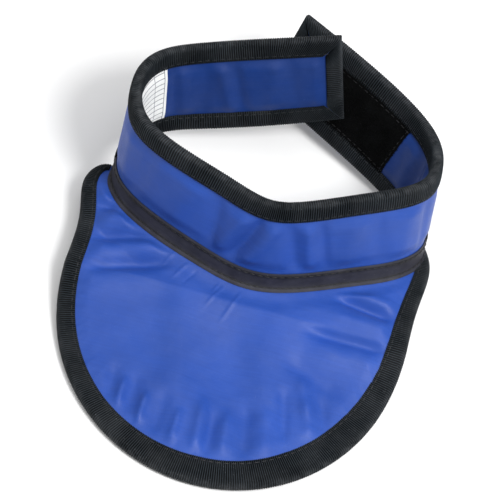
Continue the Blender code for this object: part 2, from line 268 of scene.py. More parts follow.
class CollarColours(PropertyGroup):
    """Colours of the collar's cloths, tapes and fasteners."""

    cover: colour_setting("Cover", (0.0185, 0.068, 0.345), "The bib's and the band's cover")
    lining: colour_setting("Lining", (0.0070, 0.036, 0.19), "The lining of the band and the bib")
    binding: colour_setting("Binding", (0.0034, 0.0044, 0.0054), "The ribbed tape")
    seam_tape: colour_setting("Seam tape", (0.023, 0.023, 0.034), "The tape over the neck seam")
    fastener: colour_setting("Fastener", (0.0022, 0.0024, 0.0026), "The hook and loop patches")
    thread: colour_setting("Thread", (0.006, 0.006, 0.008), "The sewing thread")
    label: colour_setting("Label", (0.92, 0.93, 0.92), "The blank size label")
    ruling: colour_setting("Ruling", (0.16, 0.17, 0.20), "The rules printed on the label")
    lint: colour_setting("Lint", (0.30, 0.31, 0.33), "Lint and dust on the dark tapes")
    floor: colour_setting("Floor", (0.93, 0.93, 0.93), "The floor")


class CollarStage(PropertyGroup):
    """The camera and the lights."""

    distance: length_setting("Camera distance", 1.45, "From the camera to its target")
    elevation: FloatProperty(
        name="Elevation", default=math.radians(55), subtype="ANGLE",
        description="How far the camera looks down",
    )
    roll: FloatProperty(
        name="Roll", default=math.radians(15), subtype="ANGLE",
        description="How far the camera is rolled",
    )
    lens: FloatProperty(name="Lens", default=180, description="Focal length in millimetres")
    target: FloatVectorProperty(
        name="Target", default=(0, -0.014, 0.045), subtype="TRANSLATION",
        description="The point that the camera looks at",
    )
    key: FloatProperty(name="Key light", default=15.0, description="Power of the main soft box")
    fill: FloatProperty(name="Fill light", default=0.9, description="Power of the side soft box")
    roof: FloatProperty(name="Roof light", default=14.0, description="Power of the roof soft box")
    sky: FloatProperty(name="Sky", default=0.42, description="Strength of the plain surroundings")


def settings():
    """The sizes, the colours and the stage."""
    scene = bpy.context.scene
    return scene.collar_sizes, scene.collar_colours, scene.collar_stage


# The collar's surfaces -------------------------------------------------------------------------

def spline(cage, positions):
    """Points of the uniform cubic B-spline that starts and ends on its cage's end points."""
    points = np.asarray(cage, dtype=float)
    points = np.vstack([2 * points[0] - points[1], points, 2 * points[-1] - points[-2]])
    index = np.minimum(positions.astype(int), len(cage) - 2)
    f = (positions - index)[:, None]
    weights = (
        (1 - f) ** 3,
        3 * f ** 3 - 6 * f ** 2 + 4,
        -3 * f ** 3 + 3 * f ** 2 + 3 * f + 1,
        f ** 3,
    )
    return sum(w * points[index + i] for i, w in enumerate(weights)) / 6


def unit(vectors):
    """The vectors, each drawn out or in to length 1."""
    return vectors / np.linalg.norm(vectors, axis=-1, keepdims=True)


def smooth(share):
    """An even rise from 0 to 1, level at both ends."""
    share = np.clip(share, 0, 1)
    return share * share * (3 - 2 * share)


def ridge(offset, width):
    """Height of a smooth ridge across its line, 1 at its middle."""
    return np.exp(-(offset / width) ** 2)


def lookup(at, travel, values):
    """The rows of values at distances that lie between those of travel."""
    return np.stack([np.interp(at, travel, column) for column in values.T], axis=-1)


def travelled(points):
    """Distance along a line of points, at each of them."""
    runs = np.linalg.norm(np.diff(points, axis=0), axis=1)
    return np.concatenate([[0], np.cumsum(runs)])


class Band:
    """The neck band's surface, by distance along it, height up it and distance out of it."""

    def __init__(self):
        samples = spline(BAND_CAGE, np.linspace(0, len(BAND_CAGE) - 1, SPLINE_SAMPLES))
        self.middles = samples[:, :3]
        self.leans = np.radians(samples[:, 3])
        self.travel = travelled(self.middles)
        self.length = self.travel[-1]
        self.tangents = np.gradient(self.middles, self.travel, axis=0)

    def frames(self, along):
        """The middle of the band's height, the way up it and the way out of it."""
        tangent = unit(lookup(along, self.travel, self.tangents))
        lean = np.interp(along, self.travel, self.leans)[..., None]
        upright = unit(np.array([0, 0, 1.0]) - tangent * tangent[..., 2:])
        rise = np.cos(lean) * upright + np.sin(lean) * np.cross(upright, tangent)
        return lookup(along, self.travel, self.middles), rise, np.cross(tangent, rise)

    def points(self, along, height, out):
        along, height, out = np.broadcast_arrays(
            np.asarray(along, float), np.asarray(height, float), np.asarray(out, float)
        )
        middle, rise, outward = self.frames(along)
        return middle + rise * (height - BAND_HEIGHT / 2)[..., None] + outward * out[..., None]


class Rim:
    """The bib's whole edge in plan, from the left ear's root round to the right ear's root."""

    def __init__(self, band):
        left = self.ear(band, LEFT_SPLIT + 0.5, LEFT_EAR, -1)
        right = self.ear(band, RIGHT_SPLIT - 0.5, RIGHT_EAR, 1)
        turn = np.linspace(math.pi, 2 * math.pi, SPLINE_SAMPLES)
        lobe = np.stack([
            LOBE_CENTRE_X + LOBE_SKEW * np.sin(turn) ** 2 + LOBE_HALF_WIDTH * np.cos(turn),
            BEND_Y + LOBE_DEPTH * np.sin(turn),
        ], axis=1)
        points = np.vstack([left[:-1], lobe[1:-1], right[::-1][1:]])
        self.points = points
        self.travel = travelled(points)
        self.length = self.travel[-1]
        self.left_bend = travelled(left)[-1]
        self.right_bend = self.length - travelled(right)[-1]
        ahead = unit(np.gradient(points, self.travel, axis=0))
        self.inward = np.stack([-ahead[:, 1], ahead[:, 0]], axis=1)

    def ear(self, band, seam_end, ear, side):
        """The edge of one ear, from the neck seam's end to the bend line."""
        root = band.points(seam_end, 0, EAR_ROOT)[:2]
        bend = (LOBE_CENTRE_X + side * LOBE_HALF_WIDTH, BEND_Y)
        cage = (root, *ear, bend)
        return spline(cage, np.linspace(0, len(cage) - 1, 120))

    def at(self, distance, inset):
        """Points in plan at a distance round the rim and an inset from it."""
        distance, inset = np.broadcast_arrays(
            np.asarray(distance, float), np.asarray(inset, float)
        )
        inward = unit(lookup(distance, self.travel, self.inward))
        return lookup(distance, self.travel, self.points) + inward * inset[..., None]

    def binding(self, distance):
        """Width of the bib's binding."""
        shares, widths = zip(*RIM_BINDING)
        return np.interp(np.asarray(distance) / self.length, shares, widths)


BAND = Band()
RIM = Rim(BAND)
LOOP_PATCH = (433.0, BAND.length - 9.0, 10.0, 50.0)
LOOP_SEWING = (433.0, BAND.length - 10.5, 12.0, 48.0)
# The line where the bib meets the foot of the band
NECK_ALONG = np.arange(LEFT_SPLIT, RIGHT_SPLIT, 0.5)
NECK_LINE = BAND.points(NECK_ALONG, 0, 0) - np.array([0, 0, SEAM_DROP])
# Where each bend starts, on the front, and ends, on the part that moves, in metres
LEFT_BLEND = ((-0.092, 0.031, 0.05), (-0.092, 0.051, 0.05))
RIGHT_BLEND = ((0.099, 0.040, 0.04), (0.099, 0.074, 0.04))
BIB_BLEND = ((0, -0.026, 0.014), (0, -0.042, 0.014))
BAND_HALVES = (
    ("left", 0.0, FRONT_MIDDLE, "left_tail", LEFT_BLEND),
    ("right", FRONT_MIDDLE, BAND.length, "right_tail", RIGHT_BLEND),
)


def bib_height(plan):
    """Height of the bib's middle surface, which falls from the neck line to the table."""
    flat = plan.reshape(-1, 2)
    heights = np.empty(len(flat))
    ahead = flat[:, 1] < BEND_Y
    share = np.maximum((flat[:, 1] - REST_Y) / (BEND_Y - REST_Y), 0)
    heights[ahead] = REST_HEIGHT + (ROOT_HEIGHT - REST_HEIGHT) * share[ahead] ** 2
    behind = flat[~ahead]
    distances = np.hypot(
        behind[:, None, 0] - NECK_LINE[None, :, 0], behind[:, None, 1] - NECK_LINE[None, :, 1]
    )
    nearest = distances.argmin(axis=1)
    fall = np.minimum(distances.min(axis=1) / NECK_FALL, 1) * NECK_FALL_SHARE
    rise = (NECK_LINE[nearest, 2] - ROOT_HEIGHT) * (1 - fall)
    heights[~ahead] = ROOT_HEIGHT + rise * smooth((behind[:, 1] - BEND_Y) / BEND_FADE)
    return heights.reshape(plan.shape[:-1])


def on_bib(plan, rise):
    """Points over places in plan, by their height above the bib's middle surface."""
    rise = np.broadcast_to(np.asarray(rise, float), plan.shape[:-1])
    return np.concatenate([plan, (bib_height(plan) + rise)[..., None]], axis=-1)


# Meshes ----------------------------------------------------------------------------------------

def link(name, mesh):
    """Puts a mesh into the scene as an object."""
    made = bpy.data.objects.new(name, mesh)
    bpy.context.scene.collection.objects.link(made)
    return made


def mark(mesh, name, values):
    """Stores one number for each vertex, for the node trees and materials to read."""
    attribute = mesh.attributes.new(name, "FLOAT", "POINT")
    attribute.data.foreach_set("value", np.asarray(values, np.float32))


def make_object(name, vertices, faces, material, cloth=None, marks=None):
    """A mesh object from millimetres. cloth is a flat coordinate of each vertex, in metres."""
    mesh = bpy.data.meshes.new(name)
    mesh.from_pydata((np.asarray(vertices) * MM).tolist(), [], faces)
    mesh.validate()
    if cloth is not None:
        corners = np.empty(len(mesh.loops), dtype=np.int64)
        mesh.loops.foreach_get("vertex_index", corners)
        layer = mesh.uv_layers.new(name="cloth")
        layer.data.foreach_set("uv", np.asarray(cloth, np.float32)[corners].ravel())
    for key, values in (marks or {}).items():
        mark(mesh, key, values)
    mesh.materials.append(material)
    return link(name, mesh)


def finish_surface(made, crease):
    """Smooth shading with a sharp edge where a sheet turns onto its cut side."""
    made.data.shade_smooth()
    made.data.set_sharp_from_angle(angle=math.radians(crease))
    return made


def recalculate(piece):
    """Turns every face of a closed piece outwards."""
    work = bmesh.new()
    work.from_mesh(piece.data)
    bmesh.ops.recalc_face_normals(work, faces=work.faces)
    work.to_mesh(piece.data)
    work.free()


def grid_faces(columns, rows, first, flip):
    """Quads of a grid whose vertices run row by row, rows vertices to a column."""
    faces = []
    for i in range(columns - 1):
        for j in range(rows - 1):
            a = first + i * rows + j
            quad = (a, a + rows, a + rows + 1, a + 1)
            faces.append(quad[::-1] if flip else quad)
    return faces


def closed_sheet(name, outer, inner, cloth, material, side=1, marks=None):
    """A thin closed sheet between two grids of the same shape, with its outside on outer.

    side is -1 for a sheet on the inner face, whose grids are turned over.
    """
    columns, rows = outer.shape[:2]
    count = columns * rows
    faces = grid_faces(columns, rows, 0, False) + grid_faces(columns, rows, count, True)
    border = [(i, 0) for i in range(columns)]
    border += [(columns - 1, j) for j in range(1, rows)]
    border += [(i, rows - 1) for i in range(columns - 2, -1, -1)]
    border += [(0, j) for j in range(rows - 2, 0, -1)]
    loop = [i * rows + j for i, j in border]
    for a, b in zip(loop, loop[1:] + loop[:1]):
        faces.append((b, a, a + count, b + count))
    vertices = np.vstack([outer[::side].reshape(-1, 3), inner[::side].reshape(-1, 3)])
    flat = cloth[::side].reshape(-1, 2)
    double = {key: np.tile(np.ravel(value[::side]), 2) for key, value in (marks or {}).items()}
    made = make_object(name, vertices, faces, material, np.vstack([flat, flat]), double)
    return finish_surface(made, SHEET_CREASE)


def closed_tube(name, rings, cloth, material, marks):
    """A closed solid from rings of points, with a flat cap at each end."""
    columns, around = rings.shape[:2]
    faces = []
    for i in range(columns - 1):
        a, b = i * around, (i + 1) * around
        for j in range(around):
            k = (j + 1) % around
            faces.append((a + j, a + k, b + k, b + j))
    faces.append(tuple(range(around))[::-1])
    faces.append(tuple((columns - 1) * around + j for j in range(around)))
    flat = {key: np.ravel(value) for key, value in marks.items()}
    return make_object(
        name, rings.reshape(-1, 3), faces, material, cloth.reshape(-1, 2), flat
    )


# Node trees ------------------------------------------------------------------------------------

class Nodes:
    """Builds a node tree. An input takes a plain value, an output or a list of outputs."""

    def __init__(self, tree):
        self.tree = tree

    def feed(self, value, socket):
        if isinstance(value, bpy.types.NodeSocket):
            self.tree.links.new(value, socket)
        elif isinstance(value, list):
            for output in value:
                self.tree.links.new(output, socket)
        elif value is not None:
            socket.default_value = value

    def add(self, kind, inputs=None, **modes):
        """Adds a node and returns its outputs. inputs goes by a socket's name or number."""
        node = self.tree.nodes.new(kind)
        for key, value in modes.items():
            setattr(node, key, value)
        for key, value in (inputs or {}).items():
            self.feed(value, node.inputs[key])
        return node.outputs

    def maths(self, operation, *values, clamp=False):
        inputs = dict(enumerate(values))
        return self.add("ShaderNodeMath", inputs, operation=operation, use_clamp=clamp)[0]

    def sockets(self, side, kinds):
        for label, kind in kinds.items():
            self.tree.interface.new_socket(label, in_out=side, socket_type=f"NodeSocket{kind}")


BUILT = {}


def built(make):
    """The node tree that make builds, built the first time it is wanted."""
    if make not in BUILT:
        BUILT[make] = make()
    return BUILT[make]


class Growth(Nodes):
    """A geometry node tree with named inputs, which ends in real, painted geometry."""

    def __init__(self, name, **sizes):
        super().__init__(bpy.data.node_groups.new(name, "GeometryNodeTree"))
        self.sockets("INPUT", {"Geometry": "Geometry", **sizes, "Material": "Material"})
        self.sockets("OUTPUT", {"Geometry": "Geometry"})
        self.start = self.add("NodeGroupInput")

    def stored(self, name, kind="FLOAT"):
        named = self.add("GeometryNodeInputNamedAttribute", {"Name": name}, data_type=kind)
        return named["Attribute"]

    def pointed(self, direction):
        turn = self.add("FunctionNodeAlignRotationToVector", {"Vector": direction}, axis="Z")
        return turn["Rotation"]

    def placed(self, points, shape, turn, scale):
        return self.add("GeometryNodeInstanceOnPoints", {
            "Points": points, "Instance": shape, "Rotation": turn, "Scale": scale,
        })["Instances"]

    def close(self, geometry):
        real = self.add("GeometryNodeRealizeInstances", {"Geometry": geometry})["Geometry"]
        painted = self.add("GeometryNodeSetMaterial", {
            "Geometry": real, "Material": self.start["Material"],
        })
        self.add("NodeGroupOutput", {"Geometry": painted["Geometry"]})
        return self.tree


def rib_tree():
    """Raises ribs across a tape: the wave runs with the distance stored in "run"."""
    nodes = Growth("Ribbed tape", Pitch="Float", Depth="Float")
    turns = nodes.maths("DIVIDE", nodes.stored("run"), nodes.start["Pitch"])
    wave = nodes.maths("COSINE", nodes.maths("MULTIPLY", turns, 2 * math.pi))
    depth = nodes.maths("MULTIPLY", wave, nodes.start["Depth"])
    height = nodes.maths("MULTIPLY", depth, nodes.stored("outside"))
    normal = nodes.add("GeometryNodeInputNormal")["Normal"]
    move = nodes.add("ShaderNodeVectorMath", {0: normal, "Scale": height}, operation="SCALE")
    raised = nodes.add("GeometryNodeSetPosition", {
        "Geometry": nodes.start["Geometry"], "Offset": move["Vector"],
    })
    return nodes.close(raised["Geometry"])


def stitch_tree():
    """Lays stitches end to end along a path."""
    nodes = Growth("Stitch row", Stitch="Float", Gap="Float", Thread="Float")
    stitch, thread = nodes.start["Stitch"], nodes.start["Thread"]
    path = nodes.add("GeometryNodeMeshToCurve", {"Mesh": nodes.start["Geometry"]})["Curve"]
    step = nodes.maths("ADD", stitch, nodes.start["Gap"])
    spread = nodes.add("GeometryNodeResampleCurve", {"Curve": path, "Length": step},
                       mode="LENGTH")
    bead = nodes.add("GeometryNodeMeshUVSphere", {"Segments": 6, "Rings": 5, "Radius": 1})
    half = nodes.maths("MULTIPLY", stitch, 0.5)
    size = nodes.add("ShaderNodeCombineXYZ", {"X": thread, "Y": thread, "Z": half})
    turn = nodes.pointed(nodes.add("GeometryNodeInputTangent")["Tangent"])
    return nodes.close(nodes.placed(spread["Curve"], bead["Mesh"], turn, size["Vector"]))


def pile_tree():
    """Sows short tufts, each with its own lean and height, over the faces marked "front"."""
    nodes = Growth("Pile", Density="Float", Height="Float", Seed="Int")
    base, seed = nodes.start["Geometry"], nodes.start["Seed"]
    sown = nodes.add("GeometryNodeDistributePointsOnFaces", {
        "Mesh": base, "Selection": nodes.stored("front"),
        "Density": nodes.start["Density"], "Seed": seed,
    })
    tuft = nodes.add("GeometryNodeMeshCone", {
        "Vertices": 5, "Radius Top": 0.12, "Radius Bottom": 0.34, "Depth": 1,
    })
    lean = nodes.add("FunctionNodeRandomValue", {
        "Min": (-0.6, -0.6, 0), "Max": (0.6, 0.6, 0), "Seed": seed,
    }, data_type="FLOAT_VECTOR")["Value"]
    share = nodes.add("FunctionNodeRandomValue", {2: 0.6, 3: 1.1, "Seed": seed},
                      data_type="FLOAT")[1]
    spin = nodes.add("FunctionNodeEulerToRotation", {"Euler": lean})["Rotation"]
    tilt = nodes.add("FunctionNodeRotateRotation", {
        "Rotation": sown["Rotation"], "Rotate By": spin,
    }, rotation_space="LOCAL")["Rotation"]
    tall = nodes.maths("MULTIPLY", share, nodes.start["Height"])
    tufts = nodes.placed(sown["Points"], tuft["Mesh"], tilt, tall)
    both = nodes.add("GeometryNodeJoinGeometry", {"Geometry": [tufts, base]})
    return nodes.close(both["Geometry"])


def hook_tree():
    """Stands a bent hook on each loose point, turned by its stored "outward" direction."""
    nodes = Growth("Hooks", Height="Float")
    bend = nodes.add("GeometryNodeCurvePrimitiveBezierSegment", {
        "Resolution": 5, "Start": (0, 0, 0), "Start Handle": (0, 0, 1.35),
        "End Handle": (0.75, 0, 1.35), "End": (0.6, 0, 0.6),
    })
    wire = nodes.add("GeometryNodeCurvePrimitiveCircle", {"Resolution": 4, "Radius": 0.13})
    hook = nodes.add("GeometryNodeCurveToMesh", {
        "Curve": bend["Curve"], "Profile Curve": wire["Curve"], "Fill Caps": True,
    })
    turn = nodes.pointed(nodes.stored("outward", "FLOAT_VECTOR"))
    points, height = nodes.start["Geometry"], nodes.start["Height"]
    return nodes.close(nodes.placed(points, hook["Mesh"], turn, height))


def grow(source, make, **inputs):
    """Runs a node tree on an object and keeps the result as its plain mesh."""
    modifier = source.modifiers.new("detail", "NODES")
    modifier.node_group = built(make)
    for item in modifier.node_group.interface.items_tree:
        if item.item_type == "SOCKET" and item.in_out == "INPUT":
            key = item.name.lower()
            if key in inputs:
                modifier[item.identifier] = inputs[key]
    graph = bpy.context.evaluated_depsgraph_get()
    graph.update()
    result = bpy.data.meshes.new_from_object(source.evaluated_get(graph))
    source.modifiers.remove(modifier)
    old = source.data
    source.data = result
    result.name = source.name
    bpy.data.meshes.remove(old)
    if not result.materials:
        result.materials.append(inputs["material"])
    return source


# Shader groups and materials -------------------------------------------------------------------

class Shades(Nodes):
    """The nodes of a shader group or of a material."""

    def span(self, value, low, high, to_low=0.0, to_high=1.0):
        inputs = dict(enumerate((value, low, high, to_low, to_high)))
        return self.add("ShaderNodeMapRange", inputs, clamp=True)[0]

    def noise(self, vector, scale, detail=2.0, rough=0.5):
        return self.add("ShaderNodeTexNoise", {
            "Vector": vector, "Scale": scale, "Detail": detail, "Roughness": rough,
        })[0]

    def blend(self, factor, first, second):
        return self.add("ShaderNodeMix", {0: factor, 6: first, 7: second}, data_type="RGBA")[2]

    def group(self, make, **values):
        inputs = {key.capitalize(): value for key, value in values.items()}
        return self.add("ShaderNodeGroup", inputs, node_tree=built(make))


def shader_group(name, outputs, **inputs):
    """The nodes of a new shader group, and the outputs of its input node."""
    shades = Shades(bpy.data.node_groups.new(name, "ShaderNodeTree"))
    shades.sockets("INPUT", inputs)
    shades.sockets("OUTPUT", dict.fromkeys(outputs, "Float"))
    return shades, shades.add("NodeGroupInput")


def weave_group():
    """Plain weave: warp and weft cross over and under in turn, and some threads are darker."""
    shades, start = shader_group("Plain weave", ("Height", "Thread shade"), Cloth="Vector",
                                 Threads="Float")
    cloth = shades.add("ShaderNodeSeparateXYZ", {0: start["Cloth"]})
    waves = []
    for axis in (0, 1):
        turns = shades.maths("MULTIPLY", cloth[axis], start["Threads"])
        waves.append(shades.maths("SINE", shades.maths("MULTIPLY", turns, math.pi)))
    warp, weft = (shades.maths("ABSOLUTE", wave) for wave in waves)
    over = shades.maths("GREATER_THAN", shades.maths("MULTIPLY", *waves), 0.0)
    under = shades.maths("SUBTRACT", 1.0, over)
    height = shades.maths(
        "ADD", shades.maths("MULTIPLY", warp, over), shades.maths("MULTIPLY", weft, under)
    )
    drawn = shades.add("ShaderNodeMapping", {"Vector": start["Cloth"], "Scale": (40, 900, 1)})
    slub = shades.noise(drawn[0], 1.0, 3.0)
    shades.add("NodeGroupOutput", {"Height": height, "Thread shade": slub})
    return shades.tree


def mottle_group():
    """Slow changes of shade over a cloth."""
    shades, start = shader_group("Mottle", ("Shade",), Place="Vector", Scale="Float",
                                 Amount="Float")
    slow = shades.noise(start["Place"], start["Scale"], 4.0, 0.55)
    low, high = (shades.maths(sign, 1.0, start["Amount"]) for sign in ("SUBTRACT", "ADD"))
    shades.add("NodeGroupOutput", {"Shade": shades.span(slow, 0.3, 0.7, low, high)})
    return shades.tree


def lint_group():
    """Sparse specks and a thin veil of dust."""
    shades, start = shader_group("Lint", ("Mask",), Place="Vector", Specks="Float",
                                 Veil="Float")
    fine = shades.noise(start["Place"], 1500.0, 1.0)
    specks = shades.maths("MULTIPLY", shades.span(fine, 0.73, 0.78), start["Specks"])
    cloud = shades.noise(start["Place"], 60.0, 5.0, 0.65)
    veil = shades.maths("MULTIPLY", shades.span(cloud, 0.4, 0.75), start["Veil"])
    shades.add("NodeGroupOutput", {"Mask": shades.maths("ADD", specks, veil, clamp=True)})
    return shades.tree


def wear_group():
    """Rubbed patches where the stored edge is high."""
    shades, start = shader_group("Rubbed edge", ("Mask",), Place="Vector", Edge="Float")
    rough = shades.noise(start["Place"], 220.0, 4.0, 0.6)
    rub = shades.maths("MULTIPLY", shades.span(rough, 0.35, 0.7), start["Edge"])
    shades.add("NodeGroupOutput", {"Mask": rub})
    return shades.tree


class Finish(Shades):
    """One material: its nodes, its Principled shader and its coordinates."""

    def __init__(self, name, colour, roughness, sheen=0.0, sheen_roughness=0.4, specular=0.5):
        self.material = bpy.data.materials.new(name)
        self.material.use_nodes = True
        self.material.diffuse_color = (*colour, 1)
        super().__init__(self.material.node_tree)
        self.plain = colour
        self.shader = self.tree.nodes["Principled BSDF"].inputs
        for key, value in (
            ("Base Color", (*colour, 1)), ("Roughness", roughness), ("Metallic", 0),
            ("Sheen Weight", sheen), ("Sheen Roughness", sheen_roughness),
            ("Specular IOR Level", specular),
        ):
            self.shader[key].default_value = value
        self.place = self.add("ShaderNodeTexCoord")["Object"]
        self.cloth = self.add("ShaderNodeUVMap", uv_map="cloth")[0]

    def stored(self, name):
        return self.add("ShaderNodeAttribute", attribute_name=name)["Fac"]

    def weave(self, threads):
        return self.group(weave_group, cloth=self.cloth, threads=threads)

    def mottle(self, scale, amount):
        return self.group(mottle_group, place=self.place, scale=scale, amount=amount)["Shade"]

    def shaded(self, *shades):
        """The plain colour, made darker or lighter by each of the shades."""
        value = shades[0]
        for shade in shades[1:]:
            value = self.maths("MULTIPLY", value, shade)
        scaled = {0: self.plain, "Scale": value}
        return self.add("ShaderNodeVectorMath", scaled, operation="SCALE")[0]

    def colour(self, value):
        self.feed(value, self.shader["Base Color"])

    def dusty_colour(self, value, specks, veil, dust=None):
        """Sets the colour under specks and a veil of dust, which is lint unless it is given."""
        mask = self.group(lint_group, place=self.place, specks=specks, veil=veil)["Mask"]
        self.colour(self.blend(mask, value, (*(dust or settings()[1].lint), 1)))

    def bump(self, *layers):
        """Chains bumps of (height, strength, distance in metres)."""
        normal = None
        for height, strength, distance in layers:
            normal = self.add("ShaderNodeBump", {
                "Strength": strength, "Distance": distance, "Height": height, "Normal": normal,
            })[0]
        self.feed(normal, self.shader["Normal"])


def coated_cloth(name, colour, roughness, sheen):
    """Coated plain-weave nylon: fine threads, small crumples and a soft gloss."""
    finish = Finish(name, colour, roughness, sheen=sheen, sheen_roughness=0.35, specular=0.26)
    weave = finish.weave(1 / settings()[0].weave_pitch)
    threads = finish.span(weave["Height"], 0.0, 1.0, 0.86, 1.06)
    slub = finish.span(weave["Thread shade"], 0.3, 0.7, 0.95, 1.05)
    base = finish.shaded(finish.mottle(26.0, 0.10), threads, slub)
    finish.dusty_colour(base, 0.10, 0.03, COATING_DUST)
    patchy = finish.noise(finish.place, 45.0, 3.0)
    gloss = finish.span(patchy, 0.3, 0.7, roughness - 0.05, roughness + 0.07)
    finish.feed(gloss, finish.shader["Roughness"])
    crumple = finish.noise(finish.place, 120.0, 3.0)
    finish.bump((crumple, 0.12, 0.002), (weave["Height"], 0.35, 0.00006))
    return finish.material


def ribbed_tape():
    """Grosgrain: warp threads run along the tape between its raised ribs, with painted highlights
    on the rib crests and painted shade in the grooves.
    """
    sizes, colours, _ = settings()
    finish = Finish("ribbed_tape", colours.binding, 0.66, specular=0.08)
    along, across = finish.add("ShaderNodeSeparateXYZ", {0: finish.cloth})[:2]
    turns = finish.maths("MULTIPLY", along, 2 * math.pi / sizes.rib_pitch)
    crest = finish.span(finish.maths("COSINE", turns), -0.5, 1.0)
    crest = finish.maths("MULTIPLY", crest, crest)
    warp = finish.maths("MULTIPLY", across, 2 * math.pi / WARP_PITCH)
    thread = finish.span(finish.maths("SINE", warp), -1.0, 1.0)
    # painted highlight and shade: the colour runs from 0.2 times the plain colour in the grooves
    # to 8 times it on the rib crests, for light caught by the ribs
    base = finish.shaded(finish.mottle(55.0, 0.22), finish.span(crest, 0.0, 1.0, 0.2, 8.0),
                         finish.span(thread, 0.0, 1.0, 0.8, 1.15))
    wear = finish.group(wear_group, place=finish.place, edge=finish.stored("edge"))["Mask"]
    rubbed = finish.maths("MULTIPLY", wear, 0.10)
    finish.dusty_colour(finish.blend(rubbed, base, (*colours.lint, 1)), 0.35, 0.045)
    finish.bump((crest, 0.5, 0.00018), (thread, 0.4, 0.00005))
    return finish.material


def smooth_tape():
    """The seam tape: a close weave with a faint gloss, with painted shade where its stored edge
    mark is high, along its stitch rows outside and its edges inside.
    """
    finish = Finish("seam_tape", settings()[1].seam_tape, 0.55, specular=0.25)
    height = finish.weave(3200.0)["Height"]
    # painted shade: the colour falls to 0.15 of the plain colour along the lines stored as edge
    painted_seam_shade = finish.span(finish.stored("edge"), 0.0, 1.0, 1.0, 0.15)
    base = finish.shaded(finish.mottle(90.0, 0.3), finish.span(height, 0.0, 1.0, 0.75, 1.15),
                         painted_seam_shade)
    finish.dusty_colour(base, 0.3, 0.05)
    finish.bump((height, 0.4, 0.00006))
    return finish.material


def thread_finish():
    """Dark sewing thread with a fine twist."""
    finish = Finish("sewing_thread", settings()[1].thread, 0.5, sheen=0.1)
    finish.colour(finish.shaded(finish.mottle(400.0, 0.35)))
    finish.bump((finish.noise(finish.place, 2500.0, 2.0), 0.5, 0.0001))
    return finish.material


def fastener_finish(name, roughness):
    """Black nylon of the hook and loop patches, with a rough nap and some lint."""
    finish = Finish(name, settings()[1].fastener, roughness, sheen_roughness=0.6,
                    specular=0.08)
    finish.dusty_colour(finish.shaded(finish.mottle(140.0, 0.4)), 0.12, 0.004)
    finish.bump((finish.noise(finish.place, 900.0, 3.0, 0.7), 0.4, 0.0003))
    return finish.material


def label_finish():
    """White label cloth with a printed line down its side, a rule to each row and a column."""
    colours = settings()[1]
    finish = Finish("label_cloth", colours.label, 0.5, specular=0.4)
    across, up = finish.add("ShaderNodeSeparateXYZ", {0: finish.cloth})[:2]

    def line(place, half_width):
        aside = finish.maths("ABSOLUTE", finish.maths("SUBTRACT", across, place))
        return finish.maths("LESS_THAN", aside, half_width)
    row = finish.maths("FRACT", finish.maths("DIVIDE", up, LABEL_ROW))
    rules = finish.maths("LESS_THAN", row, 0.13)
    inside = finish.maths("MULTIPLY", finish.maths("GREATER_THAN", across, LABEL_MARGIN),
                          finish.maths("GREATER_THAN", up, 0.002))
    ruled = finish.maths("ADD", rules, line(LABEL_COLUMN, 0.0002), clamp=True)
    ruled = finish.maths("MULTIPLY", ruled, inside)
    ruled = finish.maths("ADD", ruled, line(LABEL_MARGIN, 0.00025), clamp=True)
    height = finish.weave(4000.0)["Height"]
    base = finish.shaded(finish.mottle(50.0, 0.05), finish.span(height, 0.0, 1.0, 0.93, 1.0))
    finish.colour(finish.blend(ruled, base, (*colours.ruling, 1)))
    finish.bump((height, 0.2, 0.00004))
    return finish.material


MATERIALS = {}


def make_materials():
    """Mixes every finish, by the name of what it is used for."""
    colours = settings()[1]
    MATERIALS["cover"] = coated_cloth("coated_cover", colours.cover, 0.45, 0.04)
    MATERIALS["lining"] = coated_cloth("coated_lining", colours.lining, 0.5, 0.05)
    MATERIALS["binding"] = ribbed_tape()
    MATERIALS["seam_tape"] = smooth_tape()
    MATERIALS["thread"] = thread_finish()
    MATERIALS["loop"] = fastener_finish("loop_pile", 0.95)
    MATERIALS["hook"] = fastener_finish("hook_plastic", 0.5)
    MATERIALS["label"] = label_finish()


# Relief of the cloth ---------------------------------------------------------------------------

def puckers(rng, start, end, table):
    """Place, half width, height and reach of each small pucker beside a binding."""
    spacing, *ranges = table
    for place in np.arange(start, end, spacing):
        shift, width, tall, reach = (rng.uniform(*span) for span in ranges)
        yield place + shift, width, tall, reach


def band_relief(along, height, side):
    """How far the band's cover (side 1) or lining (side -1) stands out of its plain face."""
    low = smooth((height - RELIEF_START) / RELIEF_EASE)
    high = smooth((BAND_HEIGHT - BAND_BINDING + 1.0 - height) / RELIEF_EASE)
    near_end = smooth((along - END_START) / END_FADE)
    far_end = smooth((BAND.length - END_START - along) / END_FADE)
    window = low * high * (near_end * far_end)
    relief = settings()[0].band_fill / MM * window
    weight = FOLD_STRENGTH if side > 0 else 0.8 * FOLD_STRENGTH
    lift = (height - BAND_HEIGHT / 2) / BAND_HEIGHT
    for place, drift, width, tall in BAND_FOLDS + TAIL_FOLDS:
        relief = relief + weight * tall * window * ridge(along - place - drift * lift, width)
    rng = np.random.default_rng(GRAIN_SEED + side)
    for place, width, tall, reach in puckers(rng, 6, BAND.length, BAND_PUCKERS):
        from_top = rng.uniform() > 0.5
        away = BAND_HEIGHT - BAND_BINDING - height if from_top else height - RELIEF_START
        fade = np.exp(-np.maximum(away, 0) / reach)
        offset = along - place - rng.uniform(-0.25, 0.25) * away
        relief = relief + tall * window * fade * ridge(offset, width)
    return relief


def crease_height(plan, crease):
    """Relief of one crease, which fades out at both ends."""
    start, end, width, tall = crease
    start, end = np.array(start, float), np.array(end, float)
    run = end - start
    length = np.linalg.norm(run)
    ahead = run / length
    offset = plan - start
    share = (offset @ ahead) / length
    aside = offset[..., 0] * -ahead[1] + offset[..., 1] * ahead[0]
    taper = smooth((share + 0.15) / 0.4) * smooth((1.15 - share) / 0.4)
    return tall * taper * ridge(aside, width)


